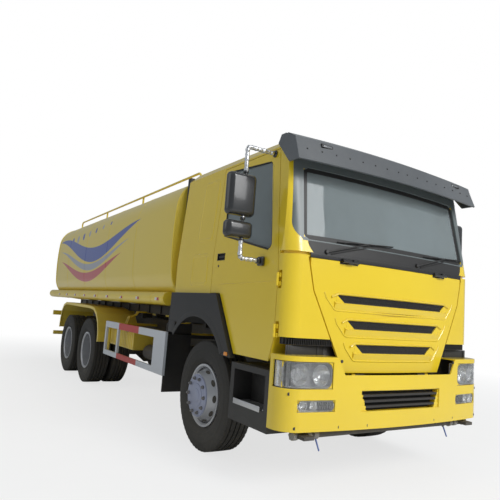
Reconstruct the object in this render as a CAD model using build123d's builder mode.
from build123d import *
import os
from math import asin, cos, degrees, radians, sin, sqrt

# A three-axle water tanker truck with a tilting sleeper cab, in millimetres.
# X points forward, Y to the truck's left and Z up. The origin is on the ground under the middle.
# Pieces are drawn from the front axle: x is the distance ahead of it, z the height above ground.

os.makedirs("parts", exist_ok=True)

# Driving sizes of the whole vehicle
overall_length = 9380.0
front_overhang = 1545.0
wheelbase = 4325.0
bogie_spread = 1350.0
body_half_width = 1245.0
front_axle_x = overall_length / 2 - front_overhang
rear_end_x = front_overhang - overall_length
overrun = 20.0
touch_gap = 0.3
sides = (1, -1)
side_names = {1: "left", -1: "right"}

# Tyres and wheels
tyre_radius = 540.0
tyre_width = 300.0
tyre_bead_radius = 286.2
front_tyre_y = 1035.0
twin_middle_y = 915.0
twin_half_spacing = 172.0
axle_z = tyre_radius
rear_axle_xs = (-wheelbase, -wheelbase - bogie_spread)

# Frame
rail_outer_y = 425.0
rail_width = 80.0
rail_height = 300.0
rail_wall = 8.0
rail_top_z = 1090.0
rail_front_x = 1280.0
rail_rear_x = -7600.0
rail_bottom_z = rail_top_z - rail_height
rail_inner_y = rail_outer_y - rail_width

# Cab form
cab_half_width = 1200.0
cab_nose_x = 1435.0
cab_nose_side_x = 1349.0
cab_rear_x = -820.0
cab_low_z = 940.0
belt_z = 1930.0
gutter_z = 2890.0
gutter_half_width = 1128.0
roof_edge_half_width = 1050.0
roof_edge_z = 2975.0
roof_rear_z = 3000.0
roof_front_z = 2945.0
cab_corner_radius = 150.0
screen_lean = 0.19
cab_wall = 50.0
skin_depth = 28.0

# Cab tilt pivot, under the nose
pivot_x = 1380.0
pivot_z = 930.0
pivot_pin_radius = 14.0
pivot_hub_radius = 22.0
pivot_gap = 0.3

# Wheel arch edge and door outline
arch_top_x = 250.0
arch_top_z = 1560.0
arch_foot_x = 590.0
door_bottom_z = 1015.0
door_gap = 6.0
door_rear_x = 60.0
door_top_z = 2865.0
door_top_front_x = 1030.0
door_belt_front_x = 1192.0
door_front_x = 1209.0
door_hip_z = 1750.0
door_shin_z = 1216.0
door_toe_x = 1147.0

# Tank
tank_front_x = -960.0
tank_rear_x = -7500.0
tank_half_width = 1220.0
tank_low_z = 1375.0
tank_top_z = 3035.0


def side_plane(y=0):
    """The side view's plane at y: x ahead of the front axle and z up, facing the right."""
    return Plane(origin=(front_axle_x, y, 0), x_dir=(1, 0, 0), z_dir=(0, -1, 0))


def front_plane(x):
    """The front view's plane at x, with y and z, facing forward."""
    return Plane(origin=(front_axle_x + x, 0, 0), x_dir=(0, 1, 0), z_dir=(1, 0, 0))


def plan_plane(z):
    """The plan view's plane at z, with x and y, facing up."""
    return Plane(origin=(front_axle_x, 0, z))


def block(x_span, y_span, z_span, mode=Mode.ADD, at_sides=(1,)):
    """A box between two corners, added to or cut from the piece being made."""
    spans = (x_span, y_span, z_span)
    lengths = [high - low for low, high in spans]
    x, y, z = [(low + high) / 2 for low, high in spans]
    with Locations(*[(front_axle_x + x, side * y, z) for side in at_sides]):
        Box(*lengths, mode=mode)


def slab(points, plane, thickness, mode=Mode.ADD, radius=0):
    """A plate with a straight-sided outline, its corners rounded where a radius is given."""
    with BuildSketch(plane) as outline:
        with BuildLine():
            Polyline(*points, close=True)
        make_face()
        if radius:
            fillet(outline.vertices(), radius)
    extrude(outline.sketch, amount=thickness, mode=mode)


def side_slab(points, y_span, mode=Mode.ADD, radius=0, at_sides=sides):
    """The same plate at both sides of the truck, between two distances from the middle."""
    low, high = y_span
    for side in at_sides:
        slab(points, side_plane(high if side > 0 else -low), high - low, mode, radius)


def rod(ends, radius, mode=Mode.ADD):
    """A straight round bar between two points."""
    start, end = [Vector(front_axle_x + x, y, z) for x, y, z in ends]
    with BuildSketch(Plane(origin=start, z_dir=end - start)) as section:
        Circle(radius)
    extrude(section.sketch, amount=(end - start).length, mode=mode)


def bent_tube(points, radius, bend):
    """A round tube along straight runs joined by bends."""
    route = [(front_axle_x + x, y, z) for x, y, z in points]
    with BuildLine() as path:
        FilletPolyline(*route, radius=bend)
    start = path.line @ 0
    with BuildSketch(Plane(origin=start, z_dir=path.line % 0)) as section:
        Circle(radius)
    sweep(section.sketch, path=path.line)


def turned(points, x, mode=Mode.ADD):
    """A body turned about the wheel axis at x, from points of y and radius."""
    with BuildSketch(front_plane(x)) as outline:
        with BuildLine():
            Polyline(*[(y, axle_z + radius) for y, radius in points], close=True)
        make_face()
    axis = Axis((front_axle_x + x, 0, axle_z), (0, 1, 0))
    revolve(outline.sketch, axis=axis, mode=mode)


def bow_radius(nose_x, nose_side_x, half_width):
    """The plan radius of a bowed front, from its sag over its half width."""
    sag = nose_x - nose_side_x
    return (half_width**2 + sag**2) / (2 * sag)


def bowed_prism(nose_x, nose_side_x, half_width, rear_x, corner, inset, z, rise, lean=0):
    """A block with a bowed front and rounded front corners, moved in by an inset."""
    with BuildSketch(plan_plane(z)) as plan:
        with BuildLine():
            ThreePointArc((nose_side_x, -half_width), (nose_x, 0), (nose_side_x, half_width))
            Polyline(
                (nose_side_x, half_width),
                (rear_x, half_width),
                (rear_x, -half_width),
                (nose_side_x, -half_width),
            )
        make_face()
        fillet(plan.vertices().group_by(Axis.X)[-1], corner)
        if inset:
            offset(amount=-inset, kind=Kind.INTERSECTION)
    with BuildPart() as prism:
        extrude(plan.sketch, amount=rise * sqrt(1 + lean**2), dir=(-lean, 0, 1))
    return prism.part


def save(piece, label):
    """Names a finished piece and writes it."""
    piece.part.label = label
    export_step(piece.part, f"parts/{label}.step")


# Wheels
tyre_half_width = tyre_width / 2
tyre_section = tyre_radius - tyre_bead_radius
# Columns: share of the tyre's half width, share of the height from bead to tread
tyre_profile_shares = (
    (0.72, 0.0),
    (0.73, 0.085),
    (0.96, 0.30),
    (1.0, 0.50),
    (0.96, 0.72),
    (0.90, 0.90),
    (0.80, 1.0),
)
rim_seat_radius = 286.0
rim_flange_radius = 306.0
rim_inner_radius = 272.0
rim_half_width = 128.0
rim_lip = 15.0
disc_thickness = 14.0
front_disc_radius = 212.0
front_disc_step = 176.0
front_disc_root = 70.0
rear_disc_radius = 225.0
rear_disc_root = 60.0
hub_radius = 112.0
drum_radius = 206.0
spindle_radius = 40.0
spindle_gap = 0.3
front_hub_inset = 72.0
front_drum_depth = 100.0
front_bore_depth = 200.0
rear_hub_inner_y = 700.0
rear_hub_outer_y = 1030.0
rear_drum_outer_y = 880.0
rear_spindle_end_y = 1000.0


def turned_tyre(x, middle_y):
    """One tyre, mirrored about its own middle plane."""
    half = [
        (tyre_half_width * across_share, tyre_bead_radius + tyre_section * height_share)
        for across_share, height_share in tyre_profile_shares
    ]
    outline = [(middle_y + y, radius) for y, radius in half]
    outline += [(middle_y - y, radius) for y, radius in reversed(half)]
    turned(outline, x)


def turned_barrel(x, middle_y):
    """A rim's barrel with its two flanges."""
    half = [
        (rim_half_width, rim_seat_radius),
        (rim_half_width, rim_flange_radius),
        (rim_half_width - rim_lip, rim_flange_radius),
        (rim_half_width - rim_lip, rim_seat_radius),
    ]
    outline = [(middle_y + y, radius) for y, radius in half]
    outline += [(middle_y - y, radius) for y, radius in reversed(half)]
    outline += [
        (middle_y - rim_half_width + rim_lip, rim_inner_radius),
        (middle_y + rim_half_width - rim_lip, rim_inner_radius),
    ]
    turned(outline, x)


def turned_disc(x, root_y, face_y, face_radius, facing):
    """A wheel disc: a cone from the barrel to a flat face that looks along facing."""
    back = facing * disc_thickness
    rim_radius = (rim_seat_radius + rim_inner_radius) / 2
    turned(
        [
            (root_y, rim_radius),
            (face_y, face_radius),
            (face_y, 0),
            (face_y - back, 0),
            (face_y - back, face_radius - disc_thickness),
            (root_y - back, rim_inner_radius - disc_thickness),
            (root_y - back, rim_radius),
        ],
        x,
    )


def turned_hub(x, y_start, y_end, radius, mode=Mode.ADD):
    """A plain cylinder on a wheel's axis."""
    turned([(y_start, 0), (y_start, radius), (y_end, radius), (y_end, 0)], x, mode)


bore_radius = spindle_radius + spindle_gap
for side in sides:
    middle_y = side * front_tyre_y
    with BuildPart() as front_tyre:
        turned_tyre(0, middle_y)
    save(front_tyre, f"front_tyre_{side_names[side]}")

    hub_y = middle_y - side * front_hub_inset
    face_y = middle_y + side * (front_disc_step + disc_thickness)
    with BuildPart() as front_rim:
        turned_barrel(0, middle_y)
        turned_disc(0, middle_y + side * front_disc_root, face_y, front_disc_radius, side)
        turned_hub(0, hub_y, face_y - side * disc_thickness, hub_radius)
        turned_hub(0, hub_y, hub_y + side * front_drum_depth, drum_radius)
        turned_hub(0, hub_y, hub_y + side * front_bore_depth, bore_radius, Mode.SUBTRACT)
    save(front_rim, f"front_rim_{side_names[side]}")

    for number, x in enumerate(rear_axle_xs, start=1):
        with BuildPart() as rear_tyres:
            for outward in sides:
                turned_tyre(x, side * (twin_middle_y + outward * twin_half_spacing))
        save(rear_tyres, f"rear_tyres_{number}_{side_names[side]}")

        hub_y = side * rear_hub_inner_y
        with BuildPart() as rear_rims:
            for outward in sides:
                tyre_y = side * (twin_middle_y + outward * twin_half_spacing)
                root_y = tyre_y - side * outward * rear_disc_root
                turned_barrel(x, tyre_y)
                turned_disc(x, root_y, side * twin_middle_y, rear_disc_radius, -side * outward)
            turned_hub(x, hub_y, side * rear_hub_outer_y, hub_radius)
            turned_hub(x, hub_y, side * rear_drum_outer_y, drum_radius)
            bore_end_y = side * (rear_spindle_end_y + spindle_gap)
            turned_hub(x, hub_y, bore_end_y, bore_radius, Mode.SUBTRACT)
        save(rear_rims, f"rear_rims_{number}_{side_names[side]}")


# Steering knuckles: a fork over the axle beam's boss, a spindle and an arm that points back
kingpin_y = 870.0
kingpin_radius = 20.0
kingpin_gap = 0.3
boss_radius = 46.0
boss_height = 110.0
lug_height = 32.0
lug_radius = 40.0
fork_web_y = 922.0
fork_clearance = 5.0
fork_outer_y = front_tyre_y - front_hub_inset - fork_clearance
arm_length = 190.0
arm_radius = 15.0
tie_pin_radius = 12.0
tie_eye_radius = 26.0
tie_eye_height = 36.0
tie_rod_radius = 15.0
boss_top_z = axle_z + boss_height / 2
boss_foot_z = axle_z - boss_height / 2
arm_top_z = boss_foot_z - kingpin_gap
arm_foot_z = arm_top_z - lug_height
arm_middle_z = (arm_top_z + arm_foot_z) / 2
tie_eye_top_z = arm_foot_z - kingpin_gap
tie_eye_foot_z = tie_eye_top_z - tie_eye_height
tie_middle_z = (tie_eye_top_z + tie_eye_foot_z) / 2


def post(x, y, z_span, radius, mode=Mode.ADD):
    """An upright round bar or, cut, an upright hole."""
    low, high = z_span
    rod(((x, y, low), (x, y, high)), radius, mode)


fork_foot_z = arm_foot_z
fork_top_z = boss_top_z + kingpin_gap + lug_height
for side in sides:
    pin_y = side * kingpin_y
    with BuildPart() as knuckle:
        for z_span in ((fork_foot_z, arm_top_z), (boss_top_z + kingpin_gap, fork_top_z)):
            post(0, pin_y, z_span, lug_radius)
            block((-lug_radius, lug_radius), (kingpin_y, fork_outer_y), z_span, at_sides=(side,))
        fork_span = (fork_foot_z, fork_top_z)
        block((-lug_radius, lug_radius), (fork_web_y, fork_outer_y), fork_span, at_sides=(side,))
        post(0, pin_y, fork_span, kingpin_radius)
        spindle_end_y = front_tyre_y - front_hub_inset + front_bore_depth - spindle_gap
        rod(((0, side * fork_web_y, axle_z), (0, side * spindle_end_y, axle_z)), spindle_radius)
        rod(((0, pin_y, arm_middle_z), (-arm_length, pin_y, arm_middle_z)), arm_radius)
        post(-arm_length, pin_y, (arm_foot_z, arm_top_z), tie_eye_radius)
        post(-arm_length, pin_y, (tie_eye_foot_z, arm_foot_z), tie_pin_radius)
    save(knuckle, f"knuckle_{side_names[side]}")

with BuildPart() as tie_rod:
    rod_ends = [(-arm_length, side * kingpin_y, tie_middle_z) for side in sides]
    rod(rod_ends, tie_rod_radius)
    for side in sides:
        post(-arm_length, side * kingpin_y, (tie_eye_foot_z, tie_eye_top_z), tie_eye_radius)
    for side in sides:
        eye_span = (tie_eye_foot_z - overrun, tie_eye_top_z + overrun)
        post(-arm_length, side * kingpin_y, eye_span, tie_pin_radius + kingpin_gap, Mode.SUBTRACT)
save(tie_rod, "tie_rod")


# Front axle: a dropped beam, its spring seats, leaf springs and their hangers
beam_half_width = 45.0
beam_end_top_z = axle_z + 35.0
beam_end_foot_z = axle_z - 35.0
beam_top_z = 500.0
beam_foot_z = 400.0
beam_shoulder_y = 700.0
beam_waist_y = 600.0
beam_inset = 40.0
spring_y_span = (385.0, 465.0)
spring_half_length = 700.0
spring_seat_half = 60.0
spring_middle_z = 600.0
spring_end_z = 690.0
spring_middle_depth = 80.0
spring_end_depth = 45.0
hanger_half = 32.0

with BuildPart() as front_axle:
    beam_half = [
        (kingpin_y - beam_inset, beam_end_foot_z),
        (kingpin_y - beam_inset, beam_end_top_z),
        (beam_shoulder_y, beam_end_top_z),
        (beam_waist_y, beam_top_z),
    ]
    beam_under = [(beam_waist_y + beam_inset, beam_foot_z), (beam_shoulder_y + beam_inset, beam_end_foot_z)]
    beam_outline = beam_half + [(-y, z) for y, z in reversed(beam_half)]
    beam_outline += [(-y, z) for y, z in reversed(beam_under)] + beam_under
    slab(beam_outline, front_plane(-beam_half_width), 2 * beam_half_width)
    for side in sides:
        post(0, side * kingpin_y, (boss_foot_z, boss_top_z), boss_radius)
        hole_span = (boss_foot_z - overrun, boss_top_z + overrun)
        post(0, side * kingpin_y, hole_span, kingpin_radius + kingpin_gap, Mode.SUBTRACT)
    leaf_outline = [
        (-spring_half_length, spring_end_z),
        (0, spring_middle_z),
        (spring_half_length, spring_end_z),
        (spring_half_length, spring_end_z + spring_end_depth),
        (0, spring_middle_z + spring_middle_depth),
        (-spring_half_length, spring_end_z + spring_end_depth),
    ]
    side_slab(leaf_outline, spring_y_span)
    seat_span = (-spring_seat_half, spring_seat_half)
    block(seat_span, spring_y_span, (beam_top_z - overrun, spring_middle_z + overrun), at_sides=sides)
    for x in (-spring_half_length, spring_half_length):
        block((x - hanger_half, x + hanger_half), spring_y_span, (spring_end_z, rail_bottom_z), at_sides=sides)
save(front_axle, "front_axle")


# Rear axles: two driven housings, bogie springs on a trunnion, and the propeller shafts
housing_radius = 65.0
housing_end_y = 680.0
gear_case_radius = 190.0
gear_case_half = 140.0
gear_case_foot_y = 300.0
shaft_radius = 42.0
gearbox_rear_x = -1250.0
shaft_gap = 12.0
gearbox_shaft_z = 820.0
bogie_spring_y_span = (455.0, 545.0)
bogie_spring_depth = 90.0
trunnion_half = 75.0
trunnion_foot_z = 650.0
trunnion_top_z = 960.0
trunnion_radius = 60.0
bogie_spring_rise = 120.0
bogie_middle_x = sum(rear_axle_xs) / 2
bogie_seat_z = axle_z + housing_radius

with BuildPart() as rear_axles:
    for x in rear_axle_xs:
        turned_hub(x, -housing_end_y, housing_end_y, housing_radius)
        case_half = [(gear_case_foot_y, housing_radius), (gear_case_half, gear_case_radius)]
        case_outline = [(gear_case_foot_y, 0)] + case_half
        case_outline += [(-y, radius) for y, radius in reversed(case_half)] + [(-gear_case_foot_y, 0)]
        turned(case_outline, x)
        turned_hub(x, -rear_spindle_end_y, rear_spindle_end_y, spindle_radius)
    first_x, second_x = rear_axle_xs
    bogie_spring = [
        (first_x, bogie_seat_z),
        (bogie_middle_x, bogie_seat_z + bogie_spring_rise),
        (second_x, bogie_seat_z),
        (second_x - housing_radius, bogie_seat_z),
        (second_x - housing_radius, bogie_seat_z + bogie_spring_depth / 2),
        (bogie_middle_x, bogie_seat_z + bogie_spring_rise + bogie_spring_depth),
        (first_x + housing_radius, bogie_seat_z + bogie_spring_depth / 2),
        (first_x + housing_radius, bogie_seat_z),
    ]
    side_slab(bogie_spring, bogie_spring_y_span)
    for x in rear_axle_xs:
        pad_x = (x - housing_radius, x + housing_radius)
        block(pad_x, bogie_spring_y_span, (axle_z, bogie_seat_z + overrun), at_sides=sides)
    trunnion_x = (bogie_middle_x - trunnion_half, bogie_middle_x + trunnion_half)
    trunnion_y = (rail_outer_y, bogie_spring_y_span[0])
    block(trunnion_x, trunnion_y, (trunnion_foot_z, trunnion_top_z), at_sides=sides)
    for side in sides:
        pin_y = side * bogie_spring_y_span[1]
        pin_z = bogie_seat_z + bogie_spring_rise
        rod(((bogie_middle_x, side * rail_outer_y, pin_z), (bogie_middle_x, pin_y, pin_z)), trunnion_radius)
    rod(((gearbox_rear_x - shaft_gap, 0, gearbox_shaft_z), (first_x, 0, axle_z + housing_radius)), shaft_radius)
    rod(((first_x, 0, axle_z + housing_radius), (second_x, 0, axle_z + housing_radius)), shaft_radius)
save(rear_axles, "rear_axles")


# Frame: two channel rails, crossmembers, the cab's front brackets and rear posts
cross_half = 35.0
cross_foot_z = 940.0
# Places along the rails, from the front axle
cross_xs = (-1650.0, -2600.0, -3600.0, -5000.0, -6300.0, -7400.0)
front_cross_x_span = (1190.0, 1260.0)
bracket_y_span = (345.0, 425.0)
pivot_hub_end_y = 449.0
pivot_lug_y_span = (455.0, 495.0)
cab_rest_gap = 6.0
cab_post_x_span = (-750.0, -670.0)
floor_rear_z = 1610.0
floor_thickness = 50.0
floor_rear_foot_z = floor_rear_z - floor_thickness

with BuildPart() as frame_rails:
    rail_x_span = (rail_rear_x, rail_front_x)
    block(rail_x_span, (rail_inner_y, rail_outer_y), (rail_bottom_z, rail_top_z), at_sides=sides)
    hollow_x_span = (rail_rear_x - overrun, rail_front_x + overrun)
    hollow_y_span = (rail_inner_y - overrun, rail_outer_y - rail_wall)
    hollow_z_span = (rail_bottom_z + rail_wall, rail_top_z - rail_wall)
    block(hollow_x_span, hollow_y_span, hollow_z_span, Mode.SUBTRACT, at_sides=sides)
    web_y = rail_outer_y - rail_wall
    for x in cross_xs:
        block((x - cross_half, x + cross_half), (-web_y, web_y), (cross_foot_z, rail_top_z - rail_wall))
    block(front_cross_x_span, (-web_y, web_y), hollow_z_span)
    bracket_z_span = (pivot_z - pivot_hub_radius, pivot_z + pivot_hub_radius)
    block((front_cross_x_span[0], pivot_x), bracket_y_span, bracket_z_span, at_sides=sides)
    for side in sides:
        pin_start = (pivot_x, side * bracket_y_span[0], pivot_z)
        pin_end = (pivot_x, side * pivot_lug_y_span[1], pivot_z)
        hub_end = (pivot_x, side * pivot_hub_end_y, pivot_z)
        rod((pin_start, pin_end), pivot_pin_radius)
        rod((pin_start, hub_end), pivot_hub_radius)
    block(cab_post_x_span, bracket_y_span, (rail_top_z, floor_rear_foot_z - cab_rest_gap), at_sides=sides)
save(frame_rails, "frame_rails")


# Engine with its gearbox, and the radiator ahead of it
engine_x_span = (-450.0, 900.0)
engine_half_width = 330.0
engine_z_span = (620.0, 1420.0)
gearbox_half_width = 220.0
gearbox_z_span = (680.0, 1080.0)
engine_foot_x_spans = ((250.0, 350.0), (-350.0, -250.0))
engine_foot_top_z = 880.0
radiator_x_span = (1000.0, 1100.0)
radiator_half_width = 420.0
radiator_core_half_width = 330.0
radiator_z_span = (720.0, 1450.0)

with BuildPart() as engine_block:
    engine_y_span = (-engine_half_width, engine_half_width)
    block(engine_x_span, engine_y_span, engine_z_span)
    block((gearbox_rear_x, engine_x_span[0]), (-gearbox_half_width, gearbox_half_width), gearbox_z_span)
    for x_span in engine_foot_x_spans:
        foot_y_span = (engine_half_width, rail_outer_y - 2 * rail_wall)
        foot_z_span = (rail_bottom_z + rail_wall, engine_foot_top_z)
        block(x_span, foot_y_span, foot_z_span, at_sides=sides)
save(engine_block, "engine_block")

with BuildPart() as radiator:
    core_y_span = (-radiator_core_half_width, radiator_core_half_width)
    block(radiator_x_span, core_y_span, radiator_z_span)
    tank_y_span = (-radiator_half_width, radiator_half_width)
    block(radiator_x_span, tank_y_span, (rail_top_z, radiator_z_span[1]))
save(radiator, "radiator")


# Cab: one bowed form that leans back above the belt, cut by its side and front outlines
cab_form_top_z = 3100.0
cab_form_rear_x = -1200.0
side_taper = (cab_half_width - gutter_half_width) / (gutter_z - belt_z)
taper_foot_z = belt_z - overrun / side_taper


def cab_form(inset=0):
    """The cab's outer form, or the same form moved in by a wall."""
    nose = (cab_nose_x, cab_nose_side_x, cab_half_width, cab_form_rear_x, cab_corner_radius, inset)
    with BuildPart() as form:
        add(bowed_prism(*nose, cab_low_z - overrun, belt_z - cab_low_z + overrun))
        add(bowed_prism(*nose, belt_z, cab_form_top_z - belt_z, screen_lean))
        with BuildSketch(side_plane(cab_half_width + overrun)) as side_view:
            with BuildLine():
                Polyline(
                    (cab_rear_x, cab_low_z - 2 * overrun),
                    (cab_rear_x, gutter_z),
                    (cab_rear_x + (roof_rear_z - gutter_z), roof_rear_z),
                    (cab_nose_x + overrun, roof_front_z),
                    (cab_nose_x + 2 * cab_corner_radius, cab_low_z - 2 * overrun),
                    close=True,
                )
            make_face()
            if inset:
                offset(amount=-inset, kind=Kind.INTERSECTION)
        extrude(side_view.sketch, amount=2 * (cab_half_width + overrun), mode=Mode.INTERSECT)
        with BuildSketch(front_plane(cab_rear_x - overrun)) as front_view:
            with BuildLine():
                Polyline(
                    (cab_half_width + overrun, cab_low_z - 2 * overrun),
                    (cab_half_width + overrun, taper_foot_z),
                    (gutter_half_width, gutter_z),
                    (roof_edge_half_width, roof_edge_z),
                    (0, roof_rear_z),
                    (-roof_edge_half_width, roof_edge_z),
                    (-gutter_half_width, gutter_z),
                    (-cab_half_width - overrun, taper_foot_z),
                    (-cab_half_width - overrun, cab_low_z - 2 * overrun),
                    close=True,
                )
            make_face()
            if inset:
                offset(amount=-inset, kind=Kind.INTERSECTION)
        cab_reach = cab_nose_x - cab_rear_x + 2 * overrun
        extrude(front_view.sketch, amount=cab_reach, mode=Mode.INTERSECT)
    return form.part


glass_thickness = 6.0
glass_inset = 14.0
cab_outer = cab_form()
cab_skin_core = cab_form(skin_depth)
cab_trim_core = cab_form(skin_depth - touch_gap)
cab_glass_face = cab_form(glass_inset)
cab_glass_back = cab_form(glass_inset + glass_thickness)
cab_cavity_form = cab_form(cab_wall)

# Outlines of the door and its window, in the side view
door_outline = (
    (door_rear_x, arch_top_z + door_gap),
    (door_rear_x, door_top_z),
    (door_top_front_x, door_top_z),
    (door_belt_front_x, belt_z),
    (door_front_x, door_hip_z),
    (door_front_x, door_shin_z),
    (door_toe_x, door_bottom_z),
    (arch_foot_x, door_bottom_z),
    (arch_top_x, arch_top_z + door_gap),
)
window_rear_foot = (228.0, 2140.0)
window_rear_top = (160.0, 2830.0)
window_front_top = (930.0, 2775.0)
window_front_foot = (1095.0, 1940.0)
window_outline = (window_rear_foot, window_rear_top, window_front_top, window_front_foot)
window_corner = 45.0
glass_gap = 0.3

# Outlines in the front view
screen_foot_half_width = 1060.0
screen_foot_z = 2035.0
screen_top_half_width = 1018.0
screen_top_z = 2690.0
screen_corner = 60.0
screen_outline = (
    (screen_foot_half_width, screen_foot_z),
    (screen_top_half_width, screen_top_z),
    (-screen_top_half_width, screen_top_z),
    (-screen_foot_half_width, screen_foot_z),
)
panel_top_z = 1885.0
panel_top_half_width = 1010.0
panel_hip_half_width = 950.0
panel_hip_z = 1620.0
panel_foot_half_width = 620.0
panel_foot_z = 955.0
panel_outline = (
    (panel_top_half_width, panel_top_z),
    (-panel_top_half_width, panel_top_z),
    (-panel_hip_half_width, panel_hip_z),
    (-panel_foot_half_width, panel_foot_z),
    (panel_foot_half_width, panel_foot_z),
    (panel_hip_half_width, panel_hip_z),
)
# The lifting leaf is narrower than its hole: its upper corners dip as it swings up
leaf_side_gap = 6.0
leaf_corner_gap = 20.0
leaf_corner_drop = 60.0
leaf_outline = (
    (panel_top_half_width - leaf_corner_gap, panel_top_z),
    (-panel_top_half_width + leaf_corner_gap, panel_top_z),
    (-panel_top_half_width + leaf_corner_gap, panel_top_z - leaf_corner_drop),
    (-panel_hip_half_width + leaf_side_gap, panel_hip_z),
    (-panel_foot_half_width + leaf_side_gap, panel_foot_z),
    (panel_foot_half_width - leaf_side_gap, panel_foot_z),
    (panel_hip_half_width - leaf_side_gap, panel_hip_z),
    (panel_top_half_width - leaf_corner_gap, panel_top_z - leaf_corner_drop),
)
corner_foot_z = 1225.0
corner_rear_x = 1222.0
well_foot_z = 1032.0
well_floor_z = 1062.0
well_y_span = (780.0, 1300.0)
well_x_span = (670.0, 1125.0)
cab_toe_x = 1165.0
floor_front_z = 1300.0
tunnel_half_width = 450.0
tunnel_foot_z = 1500.0
tunnel_top_z = 1550.0
firewall_x = 1320.0
floor_step_x = 300.0
shell_front_x_span = (door_front_x, cab_nose_x + 4 * overrun)

# Hinges
hinge_pin_radius = 7.0
hinge_gap = 0.3
hinge_radius = 14.0
hinge_room = 4.0
hinge_leaf = 36.0
hinge_axis_x = 1216.0
hinge_axis_y = 1206.0
hinge_zs = (1690.0, 1270.0)
hinge_plate_x = 1250.0
hinge_plate_depth = 60.0
flap_hinge_ys = (600.0, -600.0)
flap_hinge_x = cab_nose_x + 2.0
flap_hinge_z = panel_top_z
flap_hinge_radius = 10.0
flap_pin_radius = 5.0
flap_leaf = 60.0
flap_gap = 6.0


def hinge_spans(middle, leaf):
    """A hinge's three leaves along its axis: the two outer ones, then the middle one."""
    half = leaf / 2
    outer = [(middle + half + hinge_gap, middle + 3 * half), (middle - 3 * half, middle - half - hinge_gap)]
    return outer, (middle - half, middle + half)


def side_door_form(side):
    """The wall between the cab's outer form and its cavity, at one side of the truck."""
    half_y_span = (0, cab_half_width + overrun)
    with BuildPart() as wall:
        add(cab_outer)
        add(cab_cavity_form, mode=Mode.SUBTRACT)
        reach_x = (cab_form_rear_x, cab_nose_x + overrun)
        y_span = half_y_span if side > 0 else (-half_y_span[1], 0)
        block(reach_x, y_span, (cab_low_z - 2 * overrun, cab_form_top_z), Mode.INTERSECT)
    return wall.part


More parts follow.
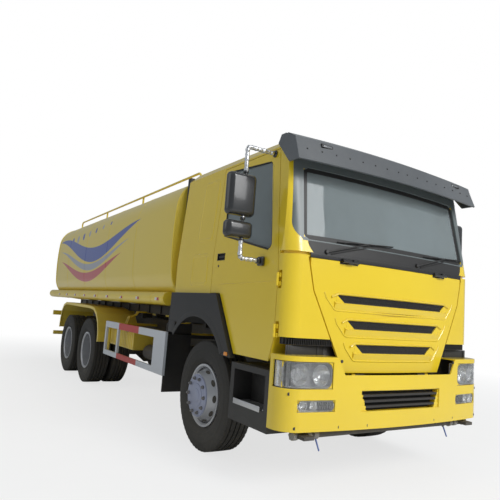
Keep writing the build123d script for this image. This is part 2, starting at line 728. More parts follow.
door_walls = {side: side_door_form(side) for side in sides}
side_reach = cab_half_width + overrun
with BuildPart() as cab_shell:
    add(cab_outer)
    # The skin's room at the nose, for the front panel and the corner panels
    with BuildPart(mode=Mode.PRIVATE) as nose_skin:
        add(cab_outer)
        add(cab_skin_core, mode=Mode.SUBTRACT)
        block((corner_rear_x, cab_nose_x + overrun), (-cab_half_width, cab_half_width),
              (cab_low_z - 2 * overrun, belt_z), Mode.INTERSECT)
    add(nose_skin.part, mode=Mode.SUBTRACT)
    # The cavity: stepped floor, tunnel over the engine and a firewall
    with BuildPart(mode=Mode.PRIVATE) as cavity:
        add(cab_cavity_form)
        with BuildSketch(side_plane(cab_half_width)) as room:
            with BuildLine():
                Polyline(
                    (cab_rear_x, floor_rear_z),
                    (floor_step_x, floor_rear_z),
                    (floor_step_x, floor_front_z),
                    (firewall_x, floor_front_z),
                    (firewall_x, cab_form_top_z),
                    (cab_rear_x, cab_form_top_z),
                    close=True,
                )
            make_face()
        extrude(room.sketch, amount=2 * cab_half_width, mode=Mode.INTERSECT)
        block((cab_rear_x, firewall_x), (-tunnel_half_width - cab_wall, tunnel_half_width + cab_wall),
              (floor_front_z - overrun, tunnel_top_z), Mode.SUBTRACT)
    add(cavity.part, mode=Mode.SUBTRACT)
    # Under the floor: open over the frame and behind the arch edge, stepped down at the doors
    under_z = cab_low_z - 3 * overrun
    block((cab_rear_x - overrun, arch_top_x), (-cab_half_width - overrun, cab_half_width + overrun),
          (under_z, floor_rear_foot_z), Mode.SUBTRACT)
    block((arch_top_x - overrun, cab_nose_x + overrun), (-tunnel_half_width, tunnel_half_width),
          (under_z, tunnel_foot_z), Mode.SUBTRACT)
    block((arch_top_x - overrun, cab_nose_x + overrun), (-well_y_span[0], well_y_span[0]),
          (under_z, floor_front_z - floor_thickness), Mode.SUBTRACT)
    block((arch_top_x - overrun, cab_nose_x + overrun), (-cab_half_width - overrun, cab_half_width + overrun),
          (under_z, well_foot_z), Mode.SUBTRACT)
    arch_cut = (
        (arch_top_x - overrun, under_z),
        (arch_top_x - overrun, floor_rear_foot_z),
        (arch_top_x, floor_rear_foot_z),
        (arch_foot_x, door_bottom_z),
        (arch_foot_x, under_z),
    )
    side_slab(arch_cut, (tunnel_half_width, cab_half_width + overrun), Mode.SUBTRACT)
    toe_cut = (
        (cab_toe_x, under_z),
        (cab_toe_x, well_foot_z),
        (corner_rear_x, corner_foot_z),
        (cab_nose_x + overrun, corner_foot_z),
        (cab_nose_x + overrun, under_z),
    )
    side_slab(toe_cut, (tunnel_half_width, cab_half_width + overrun), Mode.SUBTRACT)
    block(well_x_span, well_y_span, (well_floor_z, floor_front_z + overrun), Mode.SUBTRACT, at_sides=sides)
    # Door openings and the windshield opening
    with BuildSketch(side_plane()) as door_hole:
        with BuildLine():
            Polyline(*door_outline, close=True)
        make_face()
        offset(amount=door_gap, kind=Kind.INTERSECTION)
    for side in sides:
        with BuildPart(mode=Mode.PRIVATE) as opening:
            add(door_walls[side])
            extrude(door_hole.sketch, amount=cab_half_width + overrun, both=True, mode=Mode.INTERSECT)
        add(opening.part, mode=Mode.SUBTRACT)
    screen_reach = 2 * cab_corner_radius + cab_wall
    slab(screen_outline, front_plane(cab_nose_x - 2 * screen_reach), 3 * screen_reach, Mode.SUBTRACT, screen_corner)
    # Hinge room, hinge lugs and pins
    for side in sides:
        for z in hinge_zs:
            outer_spans, middle_span = hinge_spans(z, hinge_leaf)
            whole_span = (outer_spans[1][0], outer_spans[0][1])
            lug_y_span = (cab_half_width - hinge_plate_depth, cab_half_width - 2 * hinge_gap)
            for z_span in outer_spans:
                post(hinge_axis_x, side * hinge_axis_y, z_span, hinge_radius)
                block((hinge_axis_x, hinge_plate_x), lug_y_span, z_span, at_sides=(side,))
            room_span = (middle_span[0] - hinge_gap, middle_span[1] + hinge_gap)
            post(hinge_axis_x, side * hinge_axis_y, room_span, hinge_radius + hinge_room, Mode.SUBTRACT)
            post(hinge_axis_x, side * hinge_axis_y, whole_span, hinge_pin_radius)
    # Lugs for the front panel's hinge, on the cowl above it
    for y in flap_hinge_ys:
        outer_spans, middle_span = hinge_spans(y, flap_leaf)
        for low, high in outer_spans:
            rod(((flap_hinge_x, low, flap_hinge_z), (flap_hinge_x, high, flap_hinge_z)), flap_hinge_radius)
            block((firewall_x, flap_hinge_x), (low, high), (flap_hinge_z + flap_gap, belt_z - overrun))
        pin_ends = ((flap_hinge_x, outer_spans[1][0], flap_hinge_z), (flap_hinge_x, outer_spans[0][1], flap_hinge_z))
        rod(pin_ends, flap_pin_radius)
    # Brackets down to the tilt pins, behind the front panel
    bracket_x_span = (1330.0, 1385.0)
    block(bracket_x_span, pivot_lug_y_span, (pivot_z, floor_front_z + overrun), at_sides=sides)
    for side in sides:
        hub_ends = [(pivot_x, side * y, pivot_z) for y in pivot_lug_y_span]
        rod(hub_ends, pivot_hub_radius)
        rod(hub_ends, pivot_pin_radius + pivot_gap, Mode.SUBTRACT)
save(cab_shell, "cab_shell")


def pane(outline, plane, reach, corner):
    """A pane of glass that fills an opening, bowed like the cab's own form."""
    with BuildPart() as glass:
        add(cab_glass_face)
        add(cab_glass_back, mode=Mode.SUBTRACT)
        with BuildSketch(plane) as view:
            with BuildLine():
                Polyline(*outline, close=True)
            make_face()
            fillet(view.vertices(), corner)
            offset(amount=-glass_gap)
        extrude(view.sketch, amount=reach, mode=Mode.INTERSECT)
    return glass.part


with BuildPart() as windshield:
    add(pane(screen_outline, front_plane(firewall_x / 2), cab_nose_x, screen_corner))
save(windshield, "windshield")


# Front panel that lifts, and the fixed corner panels beside it
# Columns: slot's low edge, slot's high edge, slot's half width
panel_slots = (
    (1535.0, 1600.0, 720.0),
    (1320.0, 1390.0, 600.0),
    (1120.0, 1190.0, 500.0),
)
nose_reach = cab_nose_x - corner_rear_x + 2 * overrun

with BuildPart() as grille_panel:
    add(cab_outer)
    add(cab_glass_back, mode=Mode.SUBTRACT)
    slab(leaf_outline, front_plane(corner_rear_x), nose_reach, Mode.INTERSECT)
    with BuildPart(mode=Mode.PRIVATE) as slots:
        add(cab_outer)
        add(cab_glass_face, mode=Mode.SUBTRACT)
        with BuildPart(mode=Mode.PRIVATE) as slot_boxes:
            for low, high, half_width in panel_slots:
                block((corner_rear_x, cab_nose_x + overrun), (-half_width, half_width), (low, high))
        add(slot_boxes.part, mode=Mode.INTERSECT)
    add(slots.part, mode=Mode.SUBTRACT)
    for y in flap_hinge_ys:
        outer_spans, middle_span = hinge_spans(y, flap_leaf)
        barrel_ends = [(flap_hinge_x, edge, flap_hinge_z) for edge in middle_span]
        leaf_x_span = (cab_nose_x - flap_leaf / 2, flap_hinge_x)
        rod(barrel_ends, flap_hinge_radius)
        block(leaf_x_span, middle_span, (flap_hinge_z - 2 * flap_hinge_radius, flap_hinge_z))
        rod(barrel_ends, flap_pin_radius + hinge_gap, Mode.SUBTRACT)
save(grille_panel, "grille_panel")

corner_top_z = 1905.0
hinge_notch_half = 75.0
hinge_notch_x = 1262.0
with BuildPart() as corner_panels:
    add(cab_outer)
    add(cab_trim_core, mode=Mode.SUBTRACT)
    corner_x_span = (corner_rear_x + touch_gap, cab_nose_x + overrun)
    block(corner_x_span, (-side_reach, side_reach), (corner_foot_z, corner_top_z), Mode.INTERSECT)
    with BuildSketch(front_plane(corner_rear_x)) as panel_hole:
        with BuildLine():
            Polyline(*panel_outline, close=True)
        make_face()
        offset(amount=flap_gap, kind=Kind.INTERSECTION)
    extrude(panel_hole.sketch, amount=nose_reach, mode=Mode.SUBTRACT)
    above_panel = (panel_top_z, corner_top_z + overrun)
    block(corner_x_span, (-panel_top_half_width, panel_top_half_width), above_panel, Mode.SUBTRACT)
    for z in hinge_zs:
        notch_z_span = (z - hinge_notch_half, z + hinge_notch_half)
        notch_y_span = (cab_half_width - 2 * hinge_plate_depth, side_reach)
        block((door_front_x, hinge_notch_x), notch_y_span, notch_z_span, Mode.SUBTRACT, at_sides=sides)
save(corner_panels, "corner_panels")


# Doors, their glass and their mirrors
handle_x_span = (150.0, 290.0)
handle_z_span = (1895.0, 1955.0)
handle_depth = 22.0
door_leaf_length = 60.0
mirror_head_x_span = (895.0, 1005.0)
mirror_head_y_span = (1310.0, 1600.0)
mirror_head_z_spans = ((2210.0, 2590.0), (2020.0, 2170.0))
mirror_corner = (mirror_head_y_span[1] - mirror_head_y_span[0]) / 11.6
mirror_tube_radius = 14.0
mirror_bend = 60.0
# Columns: x, distance from the middle, z
mirror_route = (
    (960.0, 1133.7, 2832.0),
    (960.0, 1430.0, 2832.0),
    (960.0, 1430.0, 1850.0),
    (960.0, 1200.3, 1850.0),
)

for side in sides:
    side_start_y = side_reach if side > 0 else -cab_half_width / 2
    side_depth = side_reach - cab_half_width / 2
    with BuildPart() as door:
        add(door_walls[side])
        slab(door_outline, side_plane(side_start_y), side_depth, Mode.INTERSECT)
        slab(window_outline, side_plane(side_start_y), side_depth, Mode.SUBTRACT, window_corner)
        recess_y_span = (cab_half_width - handle_depth, side_reach)
        block(handle_x_span, recess_y_span, handle_z_span, Mode.SUBTRACT, at_sides=(side,))
        for z in hinge_zs:
            outer_spans, middle_span = hinge_spans(z, hinge_leaf)
            for low, high in outer_spans:
                lug_room = (low - hinge_room, high + hinge_room)
                post(hinge_axis_x, side * hinge_axis_y, lug_room, hinge_radius + hinge_room, Mode.SUBTRACT)
            post(hinge_axis_x, side * hinge_axis_y, middle_span, hinge_radius)
            leaf_x_span = (hinge_axis_x - door_leaf_length, hinge_axis_x)
            leaf_y_span = (hinge_axis_y - hinge_radius, hinge_axis_y)
            block(leaf_x_span, leaf_y_span, middle_span, at_sides=(side,))
            pin_room = (middle_span[0] - hinge_room, middle_span[1] + hinge_room)
            post(hinge_axis_x, side * hinge_axis_y, pin_room, hinge_pin_radius + hinge_gap, Mode.SUBTRACT)
    save(door, f"door_{side_names[side]}")

    with BuildPart() as door_glass:
        add(pane(window_outline, side_plane(side_start_y), side_depth, window_corner))
    save(door_glass, f"door_glass_{side_names[side]}")

    with BuildPart() as door_mirror:
        for z_span in mirror_head_z_spans:
            block(mirror_head_x_span, mirror_head_y_span, z_span, at_sides=(side,))
        fillet(door_mirror.edges().filter_by(Axis.X), mirror_corner)
        bent_tube([(x, side * y, z) for x, y, z in mirror_route], mirror_tube_radius, mirror_bend)
    save(door_mirror, f"mirror_{side_names[side]}")


# Sun visor: a bowed band over the windshield with a cheek at each end
visor_half_width = 1190.0
visor_cheek = 14.0
visor_band = (
    (1140.0, 2969.0),
    (1265.0, 2969.0),
    (1400.0, 2900.0),
    (1482.0, 2690.0),
    (1469.0, 2684.0),
    (1388.0, 2892.0),
    (1262.0, 2955.0),
    (1140.0, 2955.0),
)
cheek_outline = (
    (1075.0, 2890.0),
    (1117.0, 2960.0),
    (1182.0, 2960.0),
    (1318.0, 2896.0),
    (1392.0, 2690.0),
    (1250.0, 2690.0),
)
visor_bow = bow_radius(cab_nose_x, cab_nose_side_x, cab_half_width)

with BuildPart() as sun_visor:
    visor_axis = Axis((front_axle_x + cab_nose_x - visor_bow, 0, 0), (0, 0, 1))
    visor_angle = degrees(asin(visor_half_width / visor_bow))
    with BuildSketch(side_plane()) as band:
        with BuildLine():
            Polyline(*visor_band, close=True)
        make_face()
    revolve(band.sketch, axis=visor_axis, revolution_arc=visor_angle)
    mirror(about=Plane.XZ)
    side_slab(cheek_outline, (visor_half_width - visor_cheek, visor_half_width))
save(sun_visor, "sun_visor")


# Cab fittings
intake_x_span = (-900.0, cab_rear_x - touch_gap)
intake_y_span = (-1120.0, -1000.0)
intake_z_span = (2300.0, 2950.0)
with BuildPart() as intake_duct:
    block(intake_x_span, intake_y_span, intake_z_span)
save(intake_duct, "intake_duct")

dash_rear_x = 980.0
dash_half_width = 1060.0
dash_middle_half_width = 850.0
dash_side_front_x = 1295.0
dash_z_span = (1700.0, 2010.0)
with BuildPart() as dashboard:
    dash_y_span = (-dash_half_width, dash_half_width)
    dash_middle_y_span = (-dash_middle_half_width, dash_middle_half_width)
    block((dash_rear_x, dash_side_front_x), dash_y_span, dash_z_span)
    block((dash_rear_x, firewall_x - touch_gap), dash_middle_y_span, dash_z_span)
save(dashboard, "dashboard")

# Columns: x from, x to, z from, z to
seat_blocks = (
    (-200.0, 270.0, floor_rear_z + touch_gap, 1760.0),
    (-260.0, 330.0, 1740.0, 1860.0),
    (-370.0, -220.0, 1780.0, 2420.0),
    (-370.0, -250.0, 2400.0, 2600.0),
)
seat_y_span = (400.0, 880.0)
headrest_y_span = (520.0, 760.0)
with BuildPart() as seats:
    for x_low, x_high, z_low, z_high in seat_blocks[:-1]:
        block((x_low, x_high), seat_y_span, (z_low, z_high), at_sides=sides)
    x_low, x_high, z_low, z_high = seat_blocks[-1]
    block((x_low, x_high), headrest_y_span, (z_low, z_high), at_sides=sides)
save(seats, "seats")

wheel_centre = (790.0, -640.0, 2040.0)
wheel_ring_radius = 220.0
wheel_rim_radius = 16.0
wheel_tilt = 25.0
column_radius = 30.0
column_foot = (1050.0, -640.0, 1900.0)
spoke_half = 18.0
with BuildPart() as steering_wheel:
    ring_x, ring_y, ring_z = wheel_centre
    ring_place = Location((front_axle_x + ring_x, ring_y, ring_z), (0, -wheel_tilt, 0))
    with Locations(ring_place):
        Torus(wheel_ring_radius, wheel_rim_radius)
        Box(2 * wheel_ring_radius, 2 * spoke_half, spoke_half)
        Box(2 * spoke_half, 2 * wheel_ring_radius, spoke_half)
    rod((wheel_centre, column_foot), column_radius)
    dash_reach = (dash_rear_x - touch_gap, firewall_x)
    block(dash_reach, (-dash_half_width, dash_half_width), dash_z_span, Mode.SUBTRACT)
save(steering_wheel, "steering_wheel")


def moved_run(points, distance):
    """The same run of points moved sideways by a distance."""
    moved = []
    for index, (x, z) in enumerate(points):
        before_x, before_z = points[max(index - 1, 0)]
        after_x, after_z = points[min(index + 1, len(points) - 1)]
        along = Vector(after_x - before_x, after_z - before_z).normalized()
        moved.append((x - along.Y * distance, z + along.X * distance))
    return moved


def strip(points, thickness):
    """The outline of a bent strip along a run of points."""
    return list(points) + moved_run(points, thickness)[::-1]


# Front arch trims, below the cab behind the doors: an outer panel and a liner
arch_top_gap = floor_rear_foot_z - touch_gap
arch_run = (
    (-600.0, 1230.0),
    (-220.0, 1330.0),
    (55.0, 1310.0),
    (200.0, 1220.0),
    (322.0, 1120.0),
    (428.0, 985.0),
)
arch_rim = (
    (600.0, 975.0),
    (580.0, 1008.0),
    (241.0, arch_top_gap),
    (-820.0, arch_top_gap),
    (-835.0, 1240.0),
)
arch_panel_y_span = (1175.0, 1240.0)
arch_liner_y_span = (750.0, 1240.0)
arch_liner_thickness = 12.0
with BuildPart() as arch_trims:
    side_slab(arch_run + arch_rim, arch_panel_y_span)
    side_slab(strip(arch_run[:-1], arch_liner_thickness), arch_liner_y_span)
save(arch_trims, "arch_trims")


# Front bumper with its lamps, and the spray bar below it
bumper_side_x = 1454.0
bumper_corner = 180.0
bumper_rear_x = 1250.0
bumper_foot_z = 515.0
bumper_top_z = 1090.0
bumper_skin = 12.0
bumper_dip_z = 950.0
bumper_dip_half_width = 680.0
bumper_dip_top_half_width = 765.0
mouth_half_width = 500.0
mouth_z_span = (650.0, 830.0)
mouth_rib_zs = (690.0, 735.0, 780.0)
mouth_rib_half = 8.0
mouth_back_x_span = (1445.0, 1460.0)
mouth_back_half_width = 600.0
bumper_arm_z_span = (800.0, 870.0)
headlamp_y_low = 800.0
headlamp_rear_x = 1290.0
headlamp_z_span = (840.0, 1050.0)
foglamp_y_span = (770.0, 1120.0)
foglamp_z_span = (665.0, 755.0)
lamp_depth = 110.0
lamp_inset = 3.0


def bumper_prism(inset, z_low, z_high, rear_x=bumper_rear_x):
    """The bumper's bowed form between two heights."""
    shape = (front_overhang, bumper_side_x, body_half_width, rear_x, bumper_corner, inset)
    return bowed_prism(*shape, z_low, z_high - z_low)


def lamp_boxes(gap, mode):
    """The room of the head lamps and fog lamps, less a gap all round."""
    lamp_reach_y = body_half_width + overrun
    front_x = front_overhang + overrun
    head_z = (headlamp_z_span[0] + gap, headlamp_z_span[1] - gap)
    head_x = (headlamp_rear_x + gap, front_x)
    fog_x = (bumper_rear_x, front_x)
    fog_y = (foglamp_y_span[0] + gap, foglamp_y_span[1] - gap)
    fog_z = (foglamp_z_span[0] + gap, foglamp_z_span[1] - gap)
    with BuildPart() as boxes:
        block(head_x, (headlamp_y_low + gap, lamp_reach_y), head_z, at_sides=sides)
        block(fog_x, fog_y, fog_z, at_sides=sides)
    add(boxes.part, mode=mode)


with BuildPart() as front_bumper:
    add(bumper_prism(0, bumper_foot_z, bumper_top_z))
    inner_rear_x = bumper_rear_x - 3 * overrun
    inner_prism = bumper_prism(bumper_skin, bumper_foot_z + bumper_skin, bumper_top_z - bumper_skin, inner_rear_x)
    add(inner_prism, mode=Mode.SUBTRACT)
    dip_outline = (
        (-bumper_dip_half_width, bumper_dip_z),
        (bumper_dip_half_width, bumper_dip_z),
        (bumper_dip_top_half_width, bumper_top_z + overrun),
        (-bumper_dip_top_half_width, bumper_top_z + overrun),
    )
    dip_reach = front_overhang - bumper_rear_x + 2 * overrun
    slab(dip_outline, front_plane(bumper_rear_x - overrun), dip_reach, Mode.SUBTRACT)
    mouth_x_span = (mouth_back_x_span[1], front_overhang + overrun)
    block(mouth_x_span, (-mouth_half_width, mouth_half_width), mouth_z_span, Mode.SUBTRACT)
    lamp_boxes(0, Mode.SUBTRACT)
    back_y_span = (-mouth_back_half_width, mouth_back_half_width)
    block(mouth_back_x_span, back_y_span, (bumper_foot_z, bumper_arm_z_span[1]))
    for z in mouth_rib_zs:
        rib_y = mouth_half_width + overrun
        rib_x_span = (mouth_back_x_span[1], front_overhang - 2 * bumper_skin)
        block(rib_x_span, (-rib_y, rib_y), (z - mouth_rib_half, z + mouth_rib_half))
    arm_x_span = (rail_front_x + touch_gap, mouth_back_x_span[1])
    block(arm_x_span, bracket_y_span, bumper_arm_z_span, at_sides=sides)
save(front_bumper, "front_bumper")

with BuildPart() as front_lamps:
    add(bumper_prism(lamp_inset, bumper_foot_z, bumper_top_z))
    add(bumper_prism(lamp_depth, bumper_foot_z - overrun, bumper_top_z + overrun, bumper_rear_x - 2 * lamp_depth),
        mode=Mode.SUBTRACT)
    lamp_boxes(touch_gap, Mode.INTERSECT)
save(front_lamps, "front_lamps")

spray_x = 1380.0
spray_z = 470.0
spray_radius = 30.0
spray_half_length = 1080.0
spray_hanger_ys = (300.0, 850.0)
spray_hanger_half = 15.0
spray_lip_x = 1500.0
spray_lip_y_span = (960.0, 1060.0)
spray_lip_half = 14.0
with BuildPart() as spray_bar:
    rod(((spray_x, -spray_half_length, spray_z), (spray_x, spray_half_length, spray_z)), spray_radius)
    for y in spray_hanger_ys:
        hanger_x_span = (spray_x - spray_hanger_half, spray_x + spray_hanger_half)
        hanger_y_span = (y - spray_hanger_half, y + spray_hanger_half)
        block(hanger_x_span, hanger_y_span, (spray_z, bumper_foot_z - touch_gap), at_sides=sides)
    lip_z_span = (spray_z - spray_lip_half, spray_z + spray_lip_half)
    block((spray_x, spray_lip_x), spray_lip_y_span, lip_z_span, at_sides=sides)
save(spray_bar, "spray_bar")

step_x_span = (645.0, bumper_rear_x - touch_gap)
step_y_span = (930.0, 1240.0)
step_z_span = (460.0, 950.0)
step_recess_y = 1050.0
step_recess_z_span = (620.0, 900.0)
step_recess_margin = 60.0
step_arm_x_span = (1100.0, 1160.0)
step_arm_z_span = (830.0, 890.0)
rail_face_y = rail_outer_y + touch_gap
with BuildPart() as front_steps:
    block(step_x_span, step_y_span, step_z_span, at_sides=sides)
    recess_x_span = (step_x_span[0] + step_recess_margin, step_x_span[1] - step_recess_margin)
    block(recess_x_span, (step_recess_y, body_half_width + overrun), step_recess_z_span, Mode.SUBTRACT, at_sides=sides)
    block(step_arm_x_span, (rail_face_y, step_y_span[0] + overrun), step_arm_z_span, at_sides=sides)
save(front_steps, "front_steps")

flap_x_span = (-970.0, -950.0)
flap_y_span = (880.0, 1200.0)
flap_z_span = (405.0, 1200.0)
flap_arm_x_span = (-955.0, -915.0)
flap_arm_z_span = (1030.0, 1070.0)
with BuildPart() as front_mudflaps:
    block(flap_x_span, flap_y_span, flap_z_span, at_sides=sides)
    block(flap_arm_x_span, (rail_face_y, flap_y_span[1]), flap_arm_z_span, at_sides=sides)
save(front_mudflaps, "front_mudflaps")


# Side guards and the tubes that carry them
guard_y_span = (1215.0, 1245.0)
guard_x_span = (-3210.0, -880.0)
guard_top_z_span = (1010.0, 1100.0)
guard_low_z_span = (600.0, 670.0)
guard_post_width = 60.0
guard_plate_x = -1230.0
guard_mid_post_x = -2640.0
guard_tube_radius = 22.0
guard_tube_z = 1064.0
guard_tube_foot_z = 630.0
guard_tube_xs = (-3165.0, -1100.0)
guard_bend = 90.0
with BuildPart() as side_guards:
    for z_span in (guard_top_z_span, guard_low_z_span):
        block(guard_x_span, guard_y_span, z_span, at_sides=sides)
    guard_z_span = (guard_low_z_span[0], guard_top_z_span[1])
    block((guard_plate_x, guard_x_span[1]), guard_y_span, guard_z_span, at_sides=sides)
    for x in (guard_x_span[0], guard_mid_post_x):
        block((x, x + guard_post_width), guard_y_span, guard_z_span, at_sides=sides)
save(side_guards, "side_guards")

with BuildPart() as guard_brackets:
    tube_y = guard_y_span[0] - guard_tube_radius - touch_gap
    for side in sides:
        for x in guard_tube_xs:
            tube_route = (
                (x, side * rail_face_y, guard_tube_z),
                (x, side * tube_y, guard_tube_z),
                (x, side * tube_y, guard_tube_foot_z),
            )
            bent_tube(tube_route, guard_tube_radius, guard_bend)
save(guard_brackets, "guard_brackets")


# Fuel tank, battery box, air tanks and water pump
fuel_x_span = (-3100.0, -1600.0)
fuel_y_span = (620.0, 1150.0)
fuel_z_span = (550.0, 1000.0)
fuel_corner = 70.0
carrier_half = 35.0
carrier_z_span = (850.0, 940.0)
fuel_carrier_xs = (-2850.0, -1850.0)
with BuildPart() as fuel_tank:
    block(fuel_x_span, fuel_y_span, fuel_z_span)
    fillet(fuel_tank.edges().filter_by(Axis.X), fuel_corner)
    for x in fuel_carrier_xs:
        carrier_y_span = (rail_face_y, fuel_y_span[0] + overrun)
        block((x - carrier_half, x + carrier_half), carrier_y_span, carrier_z_span)
save(fuel_tank, "fuel_tank")

battery_x_span = (-3300.0, -2250.0)
battery_y_span = (-1120.0, -620.0)
battery_z_span = (750.0, 1025.0)
battery_carrier_xs = (-3050.0, -2500.0)
with BuildPart() as battery_box:
    block(battery_x_span, battery_y_span, battery_z_span)
    for x in battery_carrier_xs:
        carrier_y_span = (battery_y_span[1] - overrun, -rail_face_y)
        block((x - carrier_half, x + carrier_half), carrier_y_span, carrier_z_span)
save(battery_box, "battery_box")

air_x_span = (-2170.0, -1330.0)
air_ys = (-690.0, -905.0)
air_z = 740.0
air_radius = 100.0
air_carrier_xs = (-2000.0, -1500.0)
air_carrier_z_span = (835.0, 900.0)
with BuildPart() as air_tanks:
    for y in air_ys:
        rod([(x, y, air_z) for x in air_x_span], air_radius)
    for x in air_carrier_xs:
        block((x - carrier_half, x + carrier_half), (air_ys[1], -rail_face_y), air_carrier_z_span)
save(air_tanks, "air_tanks")

pump_x_span = (-3300.0, -2950.0)
pump_z_span = (792.0, 900.0)
pump_case_z_span = (860.0, 1060.0)
pump_case_radius = 170.0
with BuildPart() as water_pump:
    pump_y = rail_inner_y - touch_gap
    block(pump_x_span, (-pump_y, pump_y), pump_z_span)
    pump_middle_x = sum(pump_x_span) / 2
    post(pump_middle_x, 0, pump_case_z_span, pump_case_radius)
save(water_pump, "water_pump")


# Tank: a rounded box section with shallow dished heads, and what stands on it
tank_side_half_width = 1160.0
tank_side_z_span = (1455.0, 2955.0)
tank_corner = 420.0
tank_middle_z = (tank_low_z + tank_top_z) / 2
head_bulge = 80.0
neck_x = -2900.0
neck_radius = 250.0
neck_bore_radius = 225.0
neck_top_z = 3110.0
neck_floor_z = 2700.0


def tank_section(x):
    """The tank's section at x."""
    low_z, high_z = tank_side_z_span
    width = tank_side_half_width
    with BuildSketch(front_plane(x)) as section:
        with BuildLine():
            ThreePointArc((-width, high_z), (0, tank_top_z), (width, high_z))
            ThreePointArc((width, high_z), (tank_half_width, tank_middle_z), (width, low_z))
            ThreePointArc((width, low_z), (0, tank_low_z), (-width, low_z))
            ThreePointArc((-width, low_z), (-tank_half_width, tank_middle_z), (-width, high_z))
        make_face()
        fillet(section.vertices(), tank_corner)
    return section.sketch


def tank_body():
    """The tank's plain solid, its ends crowned both in plan and in side view."""
    front_x, rear_x = tank_front_x, tank_rear_x
    with BuildPart() as body:
        extrude(tank_section(rear_x - head_bulge), amount=front_x - rear_x + 2 * head_bulge)
        with BuildSketch(plan_plane(tank_low_z - overrun)) as plan:
            with BuildLine():
                width = tank_half_width + touch_gap
                ThreePointArc((front_x, -width), (front_x + head_bulge, 0), (front_x, width))
                Line((front_x, width), (rear_x, width))
                ThreePointArc((rear_x, width), (rear_x - head_bulge, 0), (rear_x, -width))
                Line((rear_x, -width), (front_x, -width))
            make_face()
        extrude(plan.sketch, amount=tank_top_z - tank_low_z + 2 * overrun, mode=Mode.INTERSECT)
        with BuildSketch(side_plane(tank_half_width + overrun)) as side_view:
            with BuildLine():
                low_z, high_z = tank_low_z - touch_gap, tank_top_z + touch_gap
                ThreePointArc((front_x, low_z), (front_x + head_bulge, tank_middle_z), (front_x, high_z))
                Line((front_x, high_z), (rear_x, high_z))
                ThreePointArc((rear_x, high_z), (rear_x - head_bulge, tank_middle_z), (rear_x, low_z))
                Line((rear_x, low_z), (front_x, low_z))
            make_face()
        extrude(side_view.sketch, amount=2 * (tank_half_width + overrun), mode=Mode.INTERSECT)
    return body.part


tank_solid = tank_body()
with BuildPart() as tank_shell:
    add(tank_solid)
    post(neck_x, 0, (tank_middle_z, neck_top_z), neck_radius)
    post(neck_x, 0, (neck_floor_z, neck_top_z + overrun), neck_bore_radius, Mode.SUBTRACT)
    lid_hinge_x = neck_x - neck_radius - 40.0
    lid_hinge_z = 3128.0
    lid_lug_half = 40.0
    lid_pin_radius = 8.0
    lid_barrel_radius = 16.0
    lid_outer, lid_middle = hinge_spans(0, 2 * lid_lug_half)
    for low, high in lid_outer:
        lug_foot_z = tank_top_z - 2 * overrun
        lug_x_span = (lid_hinge_x - lid_barrel_radius, lid_hinge_x + lid_barrel_radius)
        block(lug_x_span, (low, high), (lug_foot_z, lid_hinge_z))
        rod(((lid_hinge_x, low, lid_hinge_z), (lid_hinge_x, high, lid_hinge_z)), lid_barrel_radius)
    rod(((lid_hinge_x, lid_outer[1][0], lid_hinge_z), (lid_hinge_x, lid_outer[0][1], lid_hinge_z)), lid_pin_radius)
save(tank_shell, "tank_shell")

lid_radius = 275.0
lid_z_span = (3116.0, 3140.0)
with BuildPart() as manhole_lid:
    post(neck_x, 0, lid_z_span, lid_radius)
    block((lid_hinge_x, neck_x), lid_middle, lid_z_span)
    rod([(lid_hinge_x, y, lid_hinge_z) for y in lid_middle], lid_barrel_radius)
    rod([(lid_hinge_x, y, lid_hinge_z) for y in lid_middle], lid_pin_radius + hinge_gap, Mode.SUBTRACT)
save(manhole_lid, "manhole_lid")

saddle_xs = (-1400.0, -2550.0, -3750.0, -5000.0, -6250.0, -7250.0)
saddle_half = 45.0
saddle_y_span = (300.0, 480.0)
saddle_top_z = 1410.0
sill_y_span = (350.0, 420.0)
sill_x_span = (-7400.0, -1200.0)
sill_top_z = 1170.0
with BuildPart() as tank_saddles:
    block(sill_x_span, sill_y_span, (rail_top_z + touch_gap, sill_top_z), at_sides=sides)
    for x in saddle_xs:
        block((x - saddle_half, x + saddle_half), saddle_y_span, (sill_top_z - overrun, saddle_top_z), at_sides=sides)
    add(tank_solid, mode=Mode.SUBTRACT)
save(tank_saddles, "tank_saddles")

hose_y = 1165.0
hose_z = 1487.0
hose_radius = 80.0
hose_wall = 6.0
hose_front_x = -1060.0
hose_hanger_xs = (-1500.0, -3500.0, -5500.0, -7200.0)
hose_hanger_half = 20.0
hose_hanger_z_span = (1470.0, 1505.0)
hose_hanger_low_y = 700.0
with BuildPart() as hose_tubes:
    for side in sides:
        tube_ends = ((rear_end_x, side * hose_y, hose_z), (hose_front_x, side * hose_y, hose_z))
        rod(tube_ends, hose_radius)
    for x in hose_hanger_xs:
        hanger_y_span = (hose_hanger_low_y, hose_y)
        block((x - hose_hanger_half, x + hose_hanger_half), hanger_y_span, hose_hanger_z_span, at_sides=sides)
    for side in sides:
        bore_ends = ((rear_end_x, side * hose_y, hose_z), (hose_front_x - hose_radius, side * hose_y, hose_z))
        rod(bore_ends, hose_radius - hose_wall, Mode.SUBTRACT)
    add(tank_solid, mode=Mode.SUBTRACT)
save(hose_tubes, "hose_tubes")

handrail_y = 760.0
handrail_z = 3190.0
handrail_radius = 16.0
handrail_x_span = (-7480.0, -1300.0)
handrail_post_xs = (-3450.0, -5500.0)
handrail_bend = 80.0
with BuildPart() as handrails:
    rear_rail_x, front_rail_x = handrail_x_span
    for side in sides:
        y = side * handrail_y
        rail_route = (
            (rear_rail_x, y, tank_top_z - 4 * overrun),
            (rear_rail_x, y, handrail_z),
            (front_rail_x, y, handrail_z),
            (front_rail_x, y, tank_top_z - 4 * overrun),
        )
        bent_tube(rail_route, handrail_radius, handrail_bend)
        for x in handrail_post_xs:
            post(x, y, (tank_top_z - 4 * overrun, handrail_z), handrail_radius)
    add(tank_solid, mode=Mode.SUBTRACT)
save(handrails, "handrails")


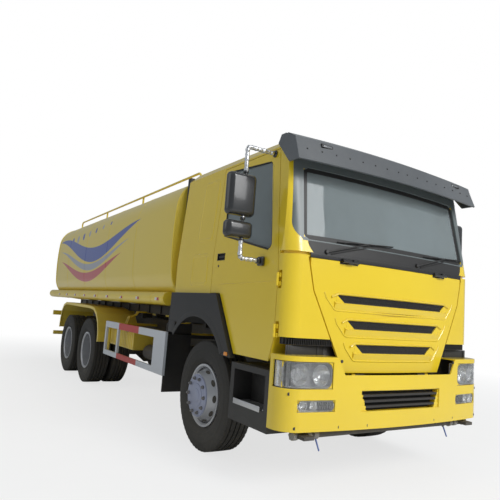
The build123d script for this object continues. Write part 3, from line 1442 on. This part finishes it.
# Rear mudguards over the twin wheels
mudguard_run = (
    (-3575.0, 745.0),
    (-3590.0, 900.0),
    (-3660.0, 1060.0),
    (-3800.0, 1200.0),
    (-3980.0, 1280.0),
    (-4200.0, 1300.0),
    (-6000.0, 1320.0),
    (-6220.0, 1270.0),
    (-6370.0, 1140.0),
    (-6430.0, 980.0),
    (-6450.0, 800.0),
)
mudguard_y_span = (580.0, 1245.0)
mudguard_thickness = 8.0
mudguard_flange = 45.0
mudguard_arm_xs = (-4300.0, -5700.0)
mudguard_arm_half = 30.0
mudguard_arm_foot_z = 1020.0
mudguard_arm_z = 1285.0
mudguard_arm_top_z = 1303.0
with BuildPart() as rear_mudguards:
    side_slab(strip(mudguard_run, mudguard_thickness), mudguard_y_span)
    flange_y_span = (mudguard_y_span[1] - mudguard_thickness, mudguard_y_span[1])
    side_slab(strip(mudguard_run, mudguard_flange), flange_y_span)
    for x in mudguard_arm_xs:
        arm_x_span = (x - mudguard_arm_half, x + mudguard_arm_half)
        post_y_span = (rail_face_y, rail_face_y + 2 * overrun)
        block(arm_x_span, post_y_span, (mudguard_arm_foot_z, mudguard_arm_top_z), at_sides=sides)
        arm_y_span = (rail_face_y, mudguard_y_span[0] + 2 * overrun)
        block(arm_x_span, arm_y_span, (mudguard_arm_z, mudguard_arm_top_z), at_sides=sides)
save(rear_mudguards, "rear_mudguards")


# Rear bars, tail lamps and ladder
rear_bar_x_span = (-7690.0, rail_rear_x - touch_gap)
rear_bar_half_width = 1150.0
rear_bar_z_span = (1000.0, 1100.0)
low_bar_half_width = 1100.0
low_bar_z_span = (560.0, 640.0)
tow_hole_radius = 20.0
tow_hole_x = -7645.0
with BuildPart() as rear_bars:
    block(rear_bar_x_span, (-rear_bar_half_width, rear_bar_half_width), rear_bar_z_span)
    block(rear_bar_x_span, (-low_bar_half_width, low_bar_half_width), low_bar_z_span)
    block(rear_bar_x_span, bracket_y_span, (low_bar_z_span[0], rear_bar_z_span[1]), at_sides=sides)
    post(tow_hole_x, 0, rear_bar_z_span, tow_hole_radius, Mode.SUBTRACT)
save(rear_bars, "rear_bars")

tail_lamp_x_span = (-7725.0, rear_bar_x_span[0] - touch_gap)
tail_lamp_y_span = (780.0, 1100.0)
tail_lamp_z_span = (1008.0, 1092.0)
with BuildPart() as tail_lamps:
    block(tail_lamp_x_span, tail_lamp_y_span, tail_lamp_z_span, at_sides=sides)
save(tail_lamps, "tail_lamps")

ladder_x = -7740.0
ladder_ys = (420.0, 780.0)
ladder_z_span = (1180.0, 3150.0)
ladder_radius = 16.0
ladder_rung_radius = 12.0
ladder_rung_count = 6
ladder_foot_z = 1350.0
ladder_rung_pitch = 290.0
ladder_stay_zs = (1700.0, 2700.0)
with BuildPart() as rear_ladder:
    for y in ladder_ys:
        post(ladder_x, y, ladder_z_span, ladder_radius)
        for z in ladder_stay_zs:
            rod(((ladder_x, y, z), (tank_rear_x + overrun, y, z)), ladder_rung_radius)
    for number in range(ladder_rung_count):
        z = ladder_foot_z + number * ladder_rung_pitch
        rod([(ladder_x, y, z) for y in ladder_ys], ladder_rung_radius)
    add(tank_solid, mode=Mode.SUBTRACT)
save(rear_ladder, "rear_ladder")
